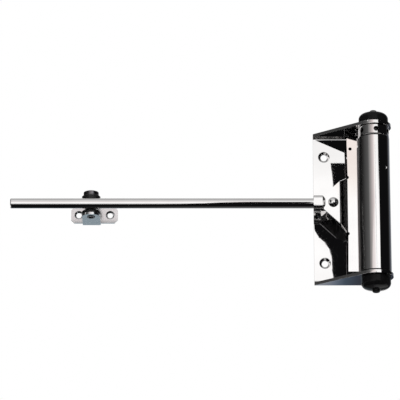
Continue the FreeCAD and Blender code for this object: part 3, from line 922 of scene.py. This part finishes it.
bpy.ops.object.select_all(action="DESELECT")
floor_size = 8.0
floor_height = -1.0
bpy.ops.mesh.primitive_plane_add(size=floor_size, location=(0, 0, floor_height))
floor = bpy.context.object
floor.name = "floor"
floor_finish, nodes, links, surface = shader("pale_floor")
clouds = grain(nodes, links, (1, 1, 1), 3.0)
links.new(tones(nodes, links, clouds, (0.93, 0.93, 0.93), (0.96, 0.96, 0.96)), surface.inputs["Base Color"])
surface.inputs["Roughness"].default_value = 0.7
floor.data.materials.append(floor_finish)

surround = bpy.data.worlds.new("surround")
studio.world = surround
surround.use_nodes = True
nodes = surround.node_tree.nodes
links = surround.node_tree.links
path = nodes.new("ShaderNodeLightPath")
seen = nodes.new("ShaderNodeMath")
seen.operation = "MAXIMUM"
links.new(path.outputs["Is Camera Ray"], seen.inputs[0])
links.new(path.outputs["Is Glossy Ray"], seen.inputs[1])
shown = nodes.new("ShaderNodeMath")
shown.operation = "MAXIMUM"
links.new(seen.outputs["Value"], shown.inputs[0])
links.new(path.outputs["Is Transmission Ray"], shown.inputs[1])
level = nodes.new("ShaderNodeMapRange")
level.inputs["To Min"].default_value = 0.8
level.inputs["To Max"].default_value = 1.0
links.new(shown.outputs["Value"], level.inputs["Value"])
sky = nodes["Background"]
sky.inputs["Color"].default_value = (1, 1, 1, 1)
links.new(level.outputs["Result"], sky.inputs["Strength"])


def card(name, corners, axis, stops):
    """A flat card seen only in reflections. Its corners go round its edge, in metres, and its
    brightness runs along one axis through the stops, each a place in metres and a colour."""
    board = drawn_line(name, [Vector(corner) / mm for corner in corners + corners[:1]])
    bpy.ops.mesh.select_all(action="SELECT")
    bpy.ops.mesh.edge_face_add()
    close_up()
    paint = bpy.data.materials.new(name)
    paint.use_nodes = True
    nodes, links = paint.node_tree.nodes, paint.node_tree.links
    nodes.remove(nodes["Principled BSDF"])
    where = nodes.new("ShaderNodeTexCoord")
    apart = nodes.new("ShaderNodeSeparateXYZ")
    along = nodes.new("ShaderNodeMapRange")
    along.inputs["From Min"].default_value = stops[0][0]
    along.inputs["From Max"].default_value = stops[-1][0]
    ramp = nodes.new("ShaderNodeValToRGB")
    while len(ramp.color_ramp.elements) < len(stops):
        ramp.color_ramp.elements.new(0.5)
    for element, (place, tone) in zip(ramp.color_ramp.elements, stops):
        element.position = (place - stops[0][0]) / (stops[-1][0] - stops[0][0])
        element.color = (*tone, 1)
    glow = nodes.new("ShaderNodeEmission")
    links.new(where.outputs["Object"], apart.inputs["Vector"])
    links.new(apart.outputs[axis], along.inputs["Value"])
    links.new(along.outputs["Result"], ramp.inputs["Fac"])
    links.new(ramp.outputs["Color"], glow.inputs["Color"])
    links.new(glow.outputs["Emission"], nodes["Material Output"].inputs["Surface"])
    board.data.materials.append(paint)
    board.visible_camera = False
    board.visible_diffuse = False
    board.visible_transmission = False
    board.visible_shadow = False
    return board


def upright(side, ends, heights):
    """Corners of an upright card across the view at a depth, from one end to the other."""
    return [(ends[0], side, heights[0]), (ends[1], side, heights[0]),
            (ends[1], side, heights[1]), (ends[0], side, heights[1])]


def sidewise(side, ends, heights):
    """Corners of an upright card that runs away from the camera, on one side."""
    return [(side, ends[0], heights[0]), (side, ends[1], heights[0]),
            (side, ends[1], heights[1]), (side, ends[0], heights[1])]


def level_card(height, across, away):
    """Corners of a card that lies flat at a height."""
    return [(across[0], away[0], height), (across[1], away[0], height),
            (across[1], away[1], height), (across[0], away[1], height)]


def grey(tone):
    return (tone, tone, tone)


# The big soft light in front, a warm strip of it above, and its fall-off towards the left, slower below.
card("front_soft_light", upright(-2.4, (-0.9, 1.6), (-0.5, 2.6)), "Z",
     [(-0.5, grey(1.16)), (0.86, grey(1.2)), (0.90, grey(1.08)), (2.6, grey(1.08))])
card("warm_strip", upright(-2.38, (0.115, 0.20), (0.80, 1.1)), "Z",
     [(0.80, grey(1.2)), (0.84, (1.12, 1.05, 1.00)), (0.875, (1.07, 0.97, 0.92)),
      (1.1, (1.07, 0.97, 0.92))])
card("upper_fall_off", upright(-2.2, (-2.4, 0.0), (0.722, 1.15)), "X",
     [(-2.4, grey(0.13)), (-1.9, grey(0.20)), (-1.2, (0.37, 0.35, 0.345)), (-0.85, (0.51, 0.465, 0.46)),
      (-0.5, (0.67, 0.605, 0.60)), (-0.2, (0.85, 0.77, 0.76)), (0.0, (1.02, 0.95, 0.94))])
card("lower_fall_off", upright(-2.2, (-2.4, 0.0), (0.45, 0.722)), "X",
     [(-2.4, grey(0.17)), (-1.85, grey(0.30)), (-1.375, (0.53, 0.49, 0.485)), (-1.02, (0.75, 0.69, 0.68)),
      (-0.67, (0.88, 0.815, 0.81)), (-0.385, (0.95, 0.88, 0.875)), (0.0, (1.06, 1.02, 1.01))])
card("left_flag", sidewise(-0.9, (-1.05, 2.2), (-0.2, 1.7)), "Y",
     [(-1.05, grey(0.14)), (-0.85, grey(0.105)), (-0.2, grey(0.052)), (0.35, grey(0.028)),
      (2.2, grey(0.028))])

# Black flags: two on the right, one low in front of the barrel, and two for the rod, low and far in front.
# Behind the rod's low flag lies a grey one.
black = (0.005, 0.005, 0.0055)
card("right_flag_high", sidewise(0.6, (-1.10, 2.2), (0.41, 1.3)), "Y",
     [(-1.10, black), (0.1, black), (0.22, grey(0.03)), (0.36, grey(0.12)), (0.68, grey(0.40)),
      (2.2, grey(0.9))])
card("right_flag_low", sidewise(0.6, (-0.95, 2.2), (-0.5, 0.41)), "Y",
     [(-0.95, black), (0.1, black), (0.22, grey(0.02)), (0.36, (0.08, 0.085, 0.10)),
      (0.68, (0.21, 0.23, 0.26)), (2.2, (0.55, 0.58, 0.62))])
card("low_flag_barrel", level_card(-0.26, (0.035, 0.5), (-2.3, 0.03)), "Y", [(-2.3, black), (0.03, black)])
rod_flag_edge = [(-0.7, -0.43), (-0.1416, -0.43), (-0.1151, -0.488), (-0.1045, -0.648), (-0.0968, -0.80),
                 (0.0147, -0.80), (0.035, -0.75), (0.035, 0.03), (-0.7, 0.03)]
card("low_flag_rod", [(x, y, -0.27) for x, y in rod_flag_edge], "Y", [(-0.80, black), (0.03, black)])
far_flag_edge = [(0.0607, -0.9), (-0.0935, -0.9), (-0.0911, -0.62), (-0.0745, -0.036), (-0.0578, 0.211),
                 (-0.0406, 0.464), (-0.0262, 0.575), (0.0607, 0.575)]
card("far_flag_rod", [(x, -2.1, z) for x, z in far_flag_edge], "Z", [(-0.9, black), (0.575, black)])
card("low_rear_rod", level_card(-0.27, (-0.7, 0.035), (0.03, 0.40)), "X",
     [(-0.7, black), (-0.21, black), (-0.135, grey(0.055)), (-0.05, grey(0.13)), (0.035, grey(0.13))])

# Cool grey behind and below, darker towards the barrel, and a grey ceiling.
card("low_back", level_card(-0.28, (-0.7, 0.6), (0.40, 1.7)), "X",
     [(-0.7, (0.30, 0.37, 0.41)), (0.0, (0.30, 0.36, 0.40)), (0.025, (0.25, 0.27, 0.31)),
      (0.036, (0.155, 0.185, 0.24)), (0.045, (0.065, 0.09, 0.125)), (0.06, (0.04, 0.045, 0.06)),
      (0.6, (0.02, 0.022, 0.03))])
card("ceiling", level_card(0.9, (-0.9, 0.9), (-1.6, 0.6)), "Y",
     [(-1.6, grey(0.86)), (-0.5, grey(0.66)), (-0.1, grey(0.46)), (0.6, grey(0.40))])

# A dark stand beside the camera, which the faintly hollow base plate mirrors.
stand = [(22, 38), (5.4, 38), (6.4, 28), (7.2, 20), (6.2, 10), (0, 0), (-7, -3), (-9.5, -6), (-9.5, -16),
         (-8, -19), (-4.6, -23), (-0.2, -27), (3.4, -32.5), (5.2, -39), (5.9, -53), (5.9, -66), (22, -66)]
stand_x, stand_y, stand_z = 0.1636, -1.5, 0.5082
stand_width, stand_height = 1.615 * mm, 1.607 * mm
card("camera_stand", [(stand_x + stand_width * x, stand_y, stand_z + stand_height * z) for x, z in stand],
     "X", [(0.14, black), (0.21, black)])

# Two soft lamps, which light the plastic and the floor but don't show in the steel.
lit_middle = Vector((-0.05, 0, 0))
soft_lamps = (("key", (-0.5, -1.1, 1.0), 0.9, 9.0), ("fill", (0.7, -1.2, 0.3), 0.9, 4.0))
for name, place, size, power in soft_lamps:
    bpy.ops.object.light_add(type="AREA", location=place)
    lamp = bpy.context.object
    lamp.name = name
    lamp.data.size = size
    lamp.data.energy = power
    lamp.rotation_euler = (lit_middle - Vector(place)).to_track_quat("-Z", "Y").to_euler()
    lamp.visible_glossy = False


# Camera: level with the plate's width but below the closer, tilted up by about nineteen degrees.
# A long lens, so that the rod and the barrel keep their proportions.

tilt = math.radians(18.786)
stand_off = 2.6
aim = Vector((-0.096827, -0.020, 0.002261))
bpy.ops.object.camera_add(location=aim - stand_off * Vector((0, math.cos(tilt), math.sin(tilt))),
                          rotation=(math.pi / 2 + tilt, 0, 0))
camera = bpy.context.object
camera.data.sensor_width = 36.0
camera.data.lens = 302.6
studio.camera = camera
